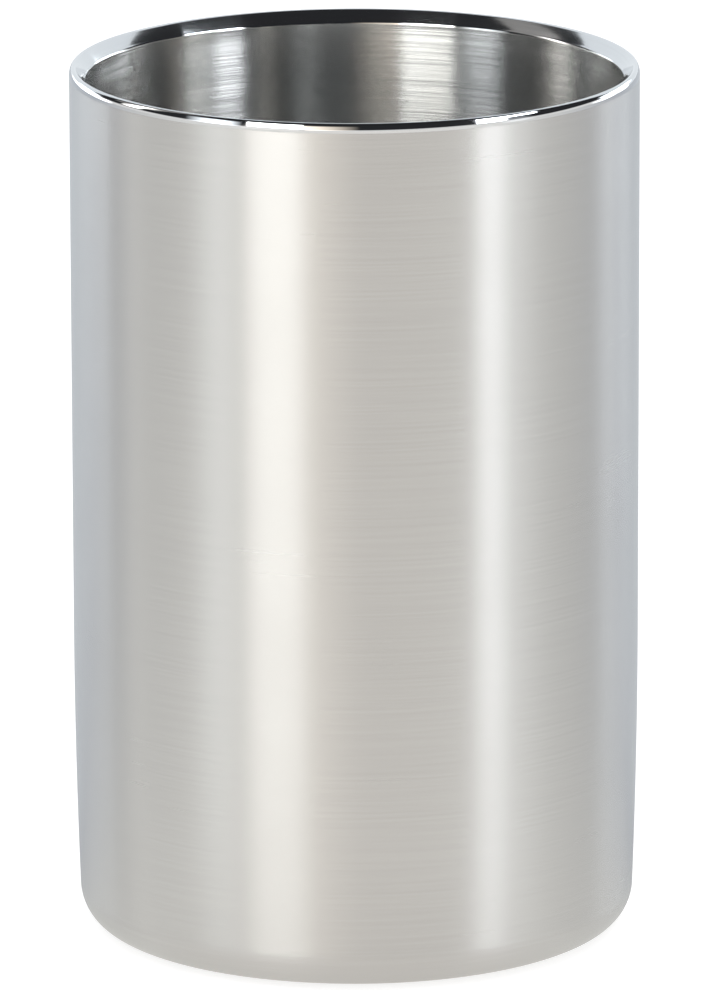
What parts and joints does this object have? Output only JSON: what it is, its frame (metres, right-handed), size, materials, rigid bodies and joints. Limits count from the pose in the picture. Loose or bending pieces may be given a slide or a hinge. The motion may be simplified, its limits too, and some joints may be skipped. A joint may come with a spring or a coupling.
{
  "type": "bottle cooler",
  "caption": "Table-top cylindrical cooler for a champagne or wine bottle: open double-walled brushed-steel cup with a polished, inward-sloping rim.",
  "frame": {"origin": "centre of the face that the cooler rests on, the underside of the anti-slip foot ring", "axes": "+Z is the cooler's axis, up through its open mouth; the cooler is turned about Z, so X and Y are free"},
  "size_m": [0.12, 0.12, 0.186],
  "materials": {
    "jacket_steel": "fine brushing round the axis, satin",
    "liner_steel": "brushed wall and floor, mirror-polished flared lip",
    "polished_steel": "weld ground flush and mirror-polished",
    "base_steel": "dull pressed sheet, spun marks",
    "weld_steel": "seam weld, lightly rippled",
    "foot_silicone": "matt silicone",
    "plug_silicone": "matt silicone",
    "support_foam": "closed-cell foam"
  },
  "bodies": {
    "root": {"outer_shell": "jacket_steel", "inner_liner": "liner_steel", "rim_weld_bead": "polished_steel", "base_plate": "base_steel", "base_weld_bead": "weld_steel", "foot_ring": "foot_silicone", "vent_plug": "plug_silicone", "liner_support_pad": "support_foam"}
  },
  "joints": []
}
